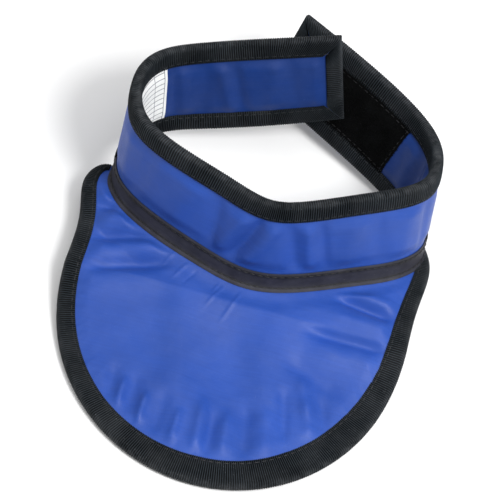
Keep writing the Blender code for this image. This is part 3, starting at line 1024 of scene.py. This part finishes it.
def bib_relief(plan, from_rim, from_neck, distance, side):
    """How far the bib's cover or lining stands off its plain face."""
    inside = smooth((from_rim + 4.0) / 14.0) * smooth((from_neck - 1.0) / 10.0)
    relief = settings()[0].bib_fill / MM * inside
    if side > 0:
        for crease in BIB_CREASES:
            relief = relief + FOLD_STRENGTH * inside * crease_height(plan, crease)
        near = smooth(from_neck / 3.0)
        for crease in SEAM_PULLS:
            relief = relief + near * crease_height(plan, crease)
    rng = np.random.default_rng(GRAIN_SEED + 2 + side)
    shown = smooth((from_rim + 3.0) / 5.0) * smooth(from_neck / 14.0)
    for place, width, tall, reach in puckers(rng, 10, RIM.length - 8, BIB_PUCKERS):
        offset = distance - place - rng.uniform(-0.3, 0.3) * from_rim
        fade = np.exp(-np.maximum(from_rim, 0) / reach)
        relief = relief + tall * shown * fade * ridge(offset, width)
    return relief


# Pieces ----------------------------------------------------------------------------------------

def fit(piece, slot, body, *nodes, blend=None):
    """Attaches a piece to its body, or only bakes its transform where it has a blend, and hides
    its CAD nodes; slot is not used.
    """
    if blend:
        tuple(blend[0])
        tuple(blend[1])
        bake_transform(piece)
    else:
        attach(piece, body)
    if nodes:
        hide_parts(*nodes)


def grid_cloth(along, across):
    """Flat coordinates, in metres, of a grid with one value for each column and each row."""
    return np.stack(np.meshgrid(along, across, indexing="ij"), axis=-1) * MM


def band_cloth(half, side):
    """Half of the band's cover or lining: side is 1 outside and -1 inside."""
    name, start, end, tail, blend = half
    kind, core = ("cover", "core_outer") if side > 0 else ("lining", "core_inner")
    first = start + BOUND_INSET if start == 0 else start
    last = end - BOUND_INSET if start > 0 else end
    along = np.linspace(first, last, int((last - first) / BAND_STEP))[:, None]
    low = np.where((along > LEFT_SPLIT) & (along < RIGHT_SPLIT), 0.0, BOUND_INSET)
    share = np.linspace(0, 1, BAND_ROWS)[None, :]
    height = low + share * (BAND_HEIGHT - BOUND_INSET - low)
    along = np.broadcast_to(along, height.shape)
    relief = band_relief(along, height, side)
    outer = BAND.points(along, height, side * (FACE + relief))
    inner = BAND.points(along, height, side * (FACE - CLOTH + relief))
    cloth = np.stack([along, height], axis=-1) * MM
    piece = closed_sheet(f"band_{kind}_{name}", outer, inner, cloth, MATERIALS[kind], side)
    nodes = [f"{name}_tail_band_{layer}" for layer in (kind, core)]
    if name == "left":
        nodes += [f"front_band_{layer}" for layer in (kind, core)]
    fit(piece, kind, tail, *nodes, blend=blend)


def tape_rings(reach, face, nose, crown):
    """Inset and rise round the section of a tape folded over an edge, for each of its columns.

    reach is the width of the legs by column, and nose is how far from the edge the fold starts.
    The first points run round the outside from one cut edge to the other, and the rest run back
    inside the fold. It also gives which points are outside, how rubbed they are and how far
    across the tape they lie.
    """
    reach = np.asarray(reach, float)[:, None]
    legs = np.linspace(1, 0, 9)[None, :]
    bow = crown * np.sin(math.pi * np.clip(legs * 1.02, 0, 1))
    for place, width, depth in TAPE_DENTS:
        bow = bow - depth * ridge((1 - legs) * reach - place, width)
    leg_inset = nose + legs * (reach - nose)
    turn = np.linspace(0, math.pi, 9)[None, 1:-1]
    fold_inset = nose - nose * np.sin(turn) + 0 * reach
    fold_rise = face * np.cos(turn) + 0 * reach
    outside_inset = np.hstack([leg_inset, fold_inset, leg_inset[:, ::-1]])
    outside_rise = np.hstack([face + bow, fold_rise, -(face + bow)[:, ::-1]])
    back = nose + np.linspace(0, 1, 4)[None, :] * (reach - nose)
    back_rise = face - TAPE - 0.1 + 0 * back
    turn = np.linspace(math.pi, 0, 5)[None, 1:-1]
    fold_inset = nose - (nose - TAPE) * np.sin(turn) + 0 * reach
    fold_rise = (face - TAPE - 0.1) * np.cos(turn) + 0 * reach
    inside_inset = np.hstack([back[:, ::-1], fold_inset, back])
    inside_rise = np.hstack([-back_rise, fold_rise, back_rise])
    inset = np.hstack([outside_inset, inside_inset])
    rise = np.hstack([outside_rise, inside_rise])
    outside = np.hstack([np.ones_like(outside_inset), np.zeros_like(inside_inset)])
    rubbed = ridge(inset, RUBBED_WIDTH) * outside
    middle = len(inset) // 2
    across = travelled(np.stack([inset[middle], rise[middle]], axis=1))
    return inset, rise, outside, rubbed, np.broadcast_to(across[None, :], inset.shape)


def ribbed(name, place, run, widths, face=TAPE_FACE, nose=2.6, crown=0.35):
    """A ribbed tape: place turns a distance along it, an inset and a rise into a point."""
    sizes = settings()[0]
    inset, rise, outside, rubbed, across = tape_rings(widths, face, nose, crown)
    distance = np.broadcast_to(np.asarray(run)[:, None], inset.shape)
    rings = place(distance, inset, rise)
    cloth = np.stack([distance, across], axis=-1) * MM
    marks = {"run": distance * MM, "outside": outside, "edge": rubbed}
    piece = closed_tube(name, rings, cloth, MATERIALS["binding"], marks)
    recalculate(piece)
    grow(piece, rib_tree, pitch=sizes.rib_pitch, depth=sizes.rib_depth,
         material=MATERIALS["binding"])
    return finish_surface(piece, TAPE_CREASE)


def rib_columns(start, end):
    """Distances along a tape, four to each rib."""
    pitch = settings()[0].rib_pitch / MM
    return np.linspace(start, end, int((end - start) / pitch * 4) + 1)


def edge_tape(name, start, end, top, left):
    """A tape along the band's top or bottom edge, drawn back along its legs at the tail's end."""
    run = rib_columns(start, end)
    corner, inward = (start, 1) if left else (end, -1)

    def place(distance, inset, rise):
        near = np.clip(1 - np.abs(distance - corner) / MITRE_EASE, 0, 1)
        height = BAND_HEIGHT - inset if top else inset
        return BAND.points(distance + inward * inset * near, height, rise)
    return ribbed(name, place, run, np.full(len(run), BAND_BINDING))


def end_tape(name, end, inward):
    """A tape up the end of a tail, which meets the top and bottom tapes on a mitre."""
    run = rib_columns(0, BAND_HEIGHT)

    def place(distance, inset, rise):
        low, high = (np.clip(1 - away / END_EASE, 0, 1)
                     for away in (distance, BAND_HEIGHT - distance))
        height = distance + inset * BAND_BINDING / END_BINDING * (low - high)
        return BAND.points(end + inward * inset, height, rise)
    return ribbed(name, place, run, np.full(len(run), END_BINDING))


def stitch_row(points):
    """A row of stitches along points in millimetres."""
    sizes = settings()[0]
    edges = [(i, i + 1) for i in range(len(points) - 1)]
    mesh = bpy.data.meshes.new("row")
    mesh.from_pydata((np.asarray(points) * MM).tolist(), edges, [])
    return grow(link("row", mesh), stitch_tree, stitch=sizes.stitch, gap=sizes.stitch_gap,
                thread=sizes.thread, material=MATERIALS["thread"])


def stitches(name, rows):
    """Rows of stitches joined into one piece."""
    vertices, faces, count = [], [], 0
    for row in rows:
        mesh = row.data
        vertices += [v.co[:] for v in mesh.vertices]
        faces += [tuple(i + count for i in p.vertices) for p in mesh.polygons]
        count = len(vertices)
        bpy.data.objects.remove(row)
        bpy.data.meshes.remove(mesh)
    mesh = bpy.data.meshes.new(name)
    mesh.from_pydata(vertices, [], faces)
    mesh.materials.append(MATERIALS["thread"])
    mesh.shade_smooth()
    return link(name, mesh)


def bib_grid(columns, rows, neck_out):
    """Plan, distance from the binding, distance from the seam and distance round the rim."""
    distance = np.linspace(0.6, RIM.length - 0.6, columns)
    knots = (0, RIM.left_bend, RIM.right_bend, RIM.length)
    along = np.interp(distance, knots, np.linspace(LEFT_SPLIT + 2, RIGHT_SPLIT - 2, 4))
    edge = RIM.at(distance, BOUND_INSET)
    neck = BAND.points(along, 0, neck_out)[:, :2]
    share = np.linspace(0, 1, rows)[None, :]
    plan = (1 - share[..., None]) * neck[:, None] + share[..., None] * edge[:, None]
    reach = np.linalg.norm(edge - neck, axis=1)[:, None]
    from_rim = (1 - share) * reach - RIM.binding(distance)[:, None] + BOUND_INSET
    from_neck = share * reach - SEAM_COVER
    return plan, from_rim, from_neck, np.broadcast_to(distance[:, None], from_rim.shape)


def bib_cloth(side):
    """The bib's cover (side 1) or its lining (side -1), which is flatter."""
    kind, core = ("cover", "core_outer") if side > 0 else ("lining", "core_inner")
    columns, rows = (430, 90) if side > 0 else (300, 60)
    plan, from_rim, from_neck, around = bib_grid(columns, rows, 2.0 * side)
    relief = bib_relief(plan, from_rim, from_neck, around, side)
    if side < 0:
        relief = relief * LINING_SHARE
    outer = on_bib(plan, side * (FACE + relief))
    inner = on_bib(plan, side * (FACE - CLOTH + relief))
    piece = closed_sheet(f"bib_{kind}", outer, inner, plan * MM, MATERIALS[kind], side)
    recalculate(piece)
    nodes = [f"{part}_{layer}" for part in ("upper_bib", "lobe") for layer in (kind, core)]
    fit(piece, kind, "bib_lobe", *nodes, blend=BIB_BLEND)


def seam_profile(along):
    """Points across the outer seam tape: down the band, round the seam and out on the bib."""
    up, face = np.array(SEAM_WALL).T[:, None]
    wall = BAND.points(along[:, None], up, face)
    outward = unit(BAND.frames(along)[2][:, :2])
    corner = BAND.points(along, -SEAM_DROP + 3.0, 3.3)[:, None, :2]
    ends = smooth((along - SEAM_START) / SEAM_TAPER) * smooth((SEAM_END - along) / SEAM_TAPER)
    reach, rise = np.array(SEAM_FLANGE).T[:, None]
    reach = reach * (0.2 + 0.8 * ends[:, None])
    plan = corner + outward[:, None] * reach[..., None]
    return np.concatenate([wall, on_bib(plan, rise + 0 * reach)], axis=1)


def grid_normals(grid):
    """The direction straight out of a grid of points, at each of them."""
    return unit(np.cross(np.gradient(grid, axis=0), np.gradient(grid, axis=1)))


def seam_tape(name, outer, inner, across, marks, side, node):
    """A tape over the neck seam, painted darker as shade along the lines across it that marks
    gives.
    """
    cloth = grid_cloth(np.linspace(SEAM_START, SEAM_END, len(outer)), across)
    # painted shade lines, stored as edge for the tape's finish
    dark = sum(ridge(across - place, width) for place, width in marks)
    dark = np.broadcast_to(dark, outer.shape[:2])
    tape = closed_sheet(name, outer, inner, cloth, MATERIALS["seam_tape"], side, {"edge": dark})
    recalculate(tape)
    fit(tape, "seam_tape", "front", node)


def rounded_grid(start, end, low, high, rounding):
    """Distances along the band and heights over a patch, drawn in at its corners."""
    grid = np.stack(np.meshgrid(
        np.linspace(start, end, int((end - start) / PATCH_STEP)),
        np.linspace(low, high, int((high - low) / PATCH_STEP)), indexing="ij",
    ), axis=-1)
    middle = np.array([start + end, low + high]) / 2
    square = np.array([end - start, high - low]) / 2 - rounding
    over = np.maximum(np.abs(grid - middle) - square, 0) / rounding
    reach = over.max(axis=-1) / np.maximum(np.hypot(over[..., 0], over[..., 1]), 1e-6)
    drawn = np.where((over > 0).all(axis=-1), reach, 1)[..., None]
    moved = middle + np.sign(grid - middle) * (square + over * rounding * drawn)
    return np.where(over > 0, moved, grid)


def patch(name, kind, outline, side, thickness, rounding=2.2):
    """A patch on one face of a tail. outline is its start, end, low and high edges."""
    grid = rounded_grid(*outline, rounding)
    along, height = grid[..., 0], grid[..., 1]
    base = FACE + band_relief(along, height, side) + 0.05
    outer = BAND.points(along, height, side * (base + thickness))
    inner = BAND.points(along, height, side * base)
    cloth = (grid - (outline[0], outline[2])) * MM
    piece = closed_sheet(name, outer, inner, cloth, MATERIALS[kind], side)
    recalculate(piece)
    return piece


def patch_stitches(name, outline, side):
    """Four rows of stitches round a patch, a little inside its outline."""
    start, end, low, high = outline
    left, right = start + STITCH_MARGIN, end - STITCH_MARGIN
    low, high = low + STITCH_MARGIN, high - STITCH_MARGIN
    corners = np.array([(left, low), (right, low), (right, high), (left, high)])
    rows = []
    share = np.linspace(0, 1, 60)
    for a, b in zip(corners, np.roll(corners, -1, axis=0)):
        along, height = a[0] + share * (b[0] - a[0]), a[1] + share * (b[1] - a[1])
        out = side * (FACE + band_relief(along, height, side) + 0.85)
        rows.append(stitch_row(BAND.points(along, height, out)))
    return stitches(name, rows)


def hook_field():
    """One hook's foot in each square of a grid over the hook patch, and its direction."""
    start, end, low, high = HOOK_PATCH
    pitch = settings()[0].hook_pitch / MM
    along, height = (values.ravel() for values in np.meshgrid(
        np.arange(start + 2.0, end - 1.5, pitch), np.arange(low + 2.0, high - 1.5, pitch),
        indexing="ij",
    ))
    out = FACE + band_relief(along, height, 1) + PAD
    mesh = bpy.data.meshes.new("hooks")
    mesh.from_pydata((BAND.points(along, height, out) * MM).tolist(), [], [])
    direction = mesh.attributes.new("outward", "FLOAT_VECTOR", "POINT")
    outward = BAND.frames(along)[2].astype(np.float32)
    direction.data.foreach_set("vector", outward.ravel())
    return link("hooks", mesh)


# Operators -------------------------------------------------------------------------------------

class CollarOperator:
    bl_options = {"REGISTER", "UNDO"}


class COLLAR_OT_finishes(CollarOperator, Operator):
    """Mix the cloth, tape, thread, fastener and label finishes"""

    bl_idname = "collar.finishes"
    bl_label = "Finishes"

    def execute(self, context):
        make_materials()
        return {"FINISHED"}


class COLLAR_OT_band_cloth(CollarOperator, Operator):
    """Make the neck band's cover and lining"""

    bl_idname = "collar.band_cloth"
    bl_label = "Band cover and lining"

    def execute(self, context):
        for half in BAND_HALVES:
            for side in (1, -1):
                band_cloth(half, side)
        return {"FINISHED"}


class COLLAR_OT_band_bindings(CollarOperator, Operator):
    """Make the ribbed tapes along the band's edges and round its tails"""

    bl_idname = "collar.band_bindings"
    bl_label = "Band bindings"

    def execute(self, context):
        for name, start, end, tail, blend in BAND_HALVES:
            left = name == "left"
            low = (0.0, LEFT_SPLIT + OVERLAP) if left else (RIGHT_SPLIT - OVERLAP, BAND.length)
            nodes = [f"{name}_tail_top_binding"] + ["front_top_binding"] * left
            top = edge_tape(f"{name}_top_binding", start, end, True, left)
            fit(top, "binding", tail, *nodes, blend=blend)
            bottom = edge_tape(f"{name}_bottom_binding", *low, False, left)
            fit(bottom, "binding", tail, f"{name}_tail_bottom_binding", blend=blend)
            close = end_tape(f"{name}_end_binding", start if left else end, 1 if left else -1)
            fit(close, "binding", tail, f"{name}_tail_end_binding")
            rows = []
            for height, first, last in (
                (BAND_HEIGHT - BAND_BINDING + STITCH_INSET, start, end),
                (BAND_BINDING - STITCH_INSET, *low),
            ):
                if left:
                    first += END_BINDING
                else:
                    last -= END_BINDING
                along = np.linspace(first, last, 300)
                for side in (1, -1):
                    path = BAND.points(along, height, side * (TAPE_FACE + 0.02))
                    rows.append(stitch_row(path))
            sewn = stitches(f"{name}_binding_stitches", rows)
            fit(sewn, "binding", tail, blend=blend)
        return {"FINISHED"}


class COLLAR_OT_bib_cloth(CollarOperator, Operator):
    """Make the bib's cover and lining"""

    bl_idname = "collar.bib_cloth"
    bl_label = "Bib cover and lining"

    def execute(self, context):
        bib_cloth(1)
        bib_cloth(-1)
        return {"FINISHED"}


class COLLAR_OT_bib_binding(CollarOperator, Operator):
    """Make the ribbed tape round the bib, with its stitches"""

    bl_idname = "collar.bib_binding"
    bl_label = "Bib binding"

    def execute(self, context):
        def place(distance, inset, rise):
            return on_bib(RIM.at(distance, inset), rise)
        run = rib_columns(0.4, RIM.length - 0.4)
        piece = ribbed("bib_binding", place, run, RIM.binding(run), face=TAPE_FACE - 0.05,
                       nose=2.8, crown=0.0)
        nodes = ("lobe_binding", "left_ear_binding", "right_ear_binding")
        fit(piece, "binding", "bib_lobe", *nodes, blend=BIB_BLEND)
        distance = np.linspace(6, RIM.length - 6, 700)
        plan = RIM.at(distance, RIM.binding(distance) - STITCH_INSET)
        rows = [stitch_row(on_bib(plan, side * (TAPE_FACE - 0.08))) for side in (1, -1)]
        fit(stitches("bib_binding_stitches", rows), "binding", "bib_lobe", blend=BIB_BLEND)
        return {"FINISHED"}


class COLLAR_OT_seam_tapes(CollarOperator, Operator):
    """Make the tapes over the neck seam, outside and inside, with their stitches"""

    bl_idname = "collar.seam_tapes"
    bl_label = "Seam tapes"

    def execute(self, context):
        along = np.linspace(SEAM_START, SEAM_END, 300)
        self.outside(along)
        self.inside(along)
        return {"FINISHED"}

    def outside(self, along):
        outer = seam_profile(along)
        normals = grid_normals(outer)
        toward = BAND.frames(along)[2] + np.array([0, 0, 0.8])
        normals *= np.sign((normals * toward[:, None]).sum(axis=-1).mean())
        across = np.linspace(0, 14, outer.shape[1])
        # painted shade along the two rows of stitches
        marks = [(across[column], 0.9) for column in SEAM_ROWS]
        seam_tape("neck_seam_cover_tape", outer, outer - normals * 0.55, across, marks, 1,
                  "neck_seam_tape")
        raised = outer + normals * 0.16
        rows = [stitch_row(raised[3:-3, column]) for column in SEAM_ROWS]
        fit(stitches("neck_seam_stitches", rows), "seam_tape", "front")

    def inside(self, along):
        height = np.linspace(0.6, 12.4, 9)
        face = TAPE_FACE - 0.25 - 0.25 * np.cos(np.linspace(0, 2 * math.pi, 9))
        outer = BAND.points(along[:, None], height[None, :], -face)
        inner = BAND.points(along[:, None], height[None, :], -(TAPE_FACE - 0.95))
        # painted shade along the tape's top and bottom edges
        marks = [(height[0], 1.0), (height[-1], 1.0)]
        seam_tape("neck_seam_inner_tape", outer, inner, height, marks, -1,
                  "inner_neck_seam_tape")
        rows = [stitch_row(BAND.points(along[3:-3], level, -(TAPE_FACE + 0.04)))
                for level in (2.4, 10.6)]
        fit(stitches("neck_seam_inner_stitches", rows), "seam_tape", "front")


class COLLAR_OT_fasteners(CollarOperator, Operator):
    """Make the loop patch with its pile and the hook patch with its hooks"""

    bl_idname = "collar.fasteners"
    bl_label = "Hook and loop"

    def execute(self, context):
        sizes = settings()[0]
        loop = patch("loop_pad", "loop", LOOP_PATCH, -1, PAD)
        count = len(loop.data.vertices)
        mark(loop.data, "front", np.arange(count) < count // 2)
        grow(loop, pile_tree, density=sizes.pile_density, height=sizes.pile_height,
             seed=sizes.pile_seed, material=MATERIALS["loop"])
        fit(loop, "loop_patch", "right_tail", "loop_patch")
        hook = patch("hook_pad", "hook", HOOK_PATCH, 1, PAD)
        fit(hook, "hook_patch", "left_tail", "hook_patch")
        hooks = grow(hook_field(), hook_tree, height=sizes.hook_height,
                     material=MATERIALS["hook"])
        fit(hooks, "hook_patch", "left_tail")
        sewn = patch_stitches("right_tail_patch_stitches", LOOP_SEWING, -1)
        fit(sewn, "loop_patch", "right_tail")
        sewn = patch_stitches("left_tail_patch_stitches", HOOK_PATCH, 1)
        fit(sewn, "hook_patch", "left_tail")
        return {"FINISHED"}


class COLLAR_OT_label(CollarOperator, Operator):
    """Make the blank ruled label inside the left tail"""

    bl_idname = "collar.label"
    bl_label = "Label"

    def execute(self, context):
        label = patch("blank_label", "label", LABEL, -1, 0.3, rounding=0.6)
        fit(label, "size_label", "left_tail", "size_label")
        return {"FINISHED"}


class COLLAR_OT_cut_sizes(CollarOperator, Operator):
    """Look up each binding and its stitches by name, and record nothing"""

    bl_idname = "collar.cut_sizes"
    bl_label = "Cut sizes"

    def execute(self, context):
        made = bpy.data.objects
        for name, start, end, _, _ in BAND_HALVES:
            edges = [made[f"{name}_{place}_binding"] for place in ("top", "bottom", "end")]
            edges.append(made[f"{name}_binding_stitches"])
        edges = [made["bib_binding"], made["bib_binding_stitches"]]
        return {"FINISHED"}


class COLLAR_OT_stage(CollarOperator, Operator):
    """Make the floor, the soft lights and the camera"""

    bl_idname = "collar.stage"
    bl_label = "Stage"

    def execute(self, context):
        _, colours, stage = settings()
        self.floor(colours)
        self.camera(stage)
        for name, place, size, power in (
            ("key_box", (0.62, -0.42, 1.15), 0.5, stage.key),
            ("fill_box", (-0.9, 0.3, 1.2), 0.9, stage.fill),
            ("back_box", (0.2, 1.3, 1.0), 1.0, stage.fill),
            ("roof_box", (0.0, 0.0, 1.8), 2.2, stage.roof),
        ):
            light = bpy.data.lights.new(name, "AREA")
            light.shape = "DISK"
            light.size = size
            light.energy = power
            lamp = bpy.data.objects.new(name, light)
            aim = Vector((0, 0, 0.03)) - Vector(place)
            lamp.matrix_world = Matrix.Translation(place) @ aim.to_track_quat(
                "-Z", "Y").to_matrix().to_4x4()
            context.scene.collection.objects.link(lamp)
        world = bpy.data.worlds.new("plain_surroundings")
        world.use_nodes = True
        background = world.node_tree.nodes["Background"]
        background.inputs["Color"].default_value = (1, 1, 1, 1)
        background.inputs["Strength"].default_value = stage.sky
        context.scene.world = world
        context.scene.view_settings.view_transform = "Standard"
        return {"FINISHED"}

    def floor(self, colours):
        finish = Finish("floor", colours.floor, 0.8, specular=0.1)
        finish.colour(finish.shaded(finish.mottle(3.0, 0.01)))
        reach = 4000.0
        corners = [(-reach, -reach, 0), (reach, -reach, 0), (reach, reach, 0), (-reach, reach, 0)]
        make_object("floor", corners, [(0, 1, 2, 3)], finish.material)

    def camera(self, stage):
        back = Vector((0, -math.cos(stage.elevation), math.sin(stage.elevation)))
        over = Vector((0, math.sin(stage.elevation), math.cos(stage.elevation)))
        side = Vector((1, 0, 0))
        right = side * math.cos(stage.roll) + over * math.sin(stage.roll)
        up = over * math.cos(stage.roll) - side * math.sin(stage.roll)
        lens = bpy.data.cameras.new("camera")
        lens.lens = stage.lens
        lens.clip_start = 0.05
        camera = bpy.data.objects.new("camera", lens)
        turn = Matrix((right, up, back)).transposed().to_4x4()
        place = Vector(stage.target) + back * stage.distance
        camera.matrix_world = Matrix.Translation(place) @ turn
        bpy.context.scene.collection.objects.link(camera)
        bpy.context.scene.camera = camera


class COLLAR_PT_panel(Panel):
    """The collar's settings and the operators that make its pieces"""

    bl_label = "Neck collar"
    bl_idname = "COLLAR_PT_panel"
    bl_space_type = "VIEW_3D"
    bl_region_type = "UI"
    bl_category = "Neck collar"

    def draw(self, context):
        for group in settings():
            box = self.layout.box()
            for key in group.__annotations__:
                box.prop(group, key)
        for operator in OPERATORS:
            self.layout.operator(operator.bl_idname)


OPERATORS = (
    COLLAR_OT_finishes,
    COLLAR_OT_stage,
    COLLAR_OT_band_cloth,
    COLLAR_OT_band_bindings,
    COLLAR_OT_bib_cloth,
    COLLAR_OT_bib_binding,
    COLLAR_OT_seam_tapes,
    COLLAR_OT_fasteners,
    COLLAR_OT_label,
    COLLAR_OT_cut_sizes,
)
GROUPS_OF_SETTINGS = (
    ("collar_sizes", CollarSizes),
    ("collar_colours", CollarColours),
    ("collar_stage", CollarStage),
)


def register():
    for name, group in GROUPS_OF_SETTINGS:
        bpy.utils.register_class(group)
        setattr(bpy.types.Scene, name, PointerProperty(type=group))
    for operator in (*OPERATORS, COLLAR_PT_panel):
        bpy.utils.register_class(operator)


def unregister():
    for operator in reversed((*OPERATORS, COLLAR_PT_panel)):
        bpy.utils.unregister_class(operator)
    for name, group in reversed(GROUPS_OF_SETTINGS):
        delattr(bpy.types.Scene, name)
        bpy.utils.unregister_class(group)


def main():
    register()
    for operator in OPERATORS:
        module, name = operator.bl_idname.split(".")
        getattr(getattr(bpy.ops, module), name)()


if __name__ == "__main__":
    main()
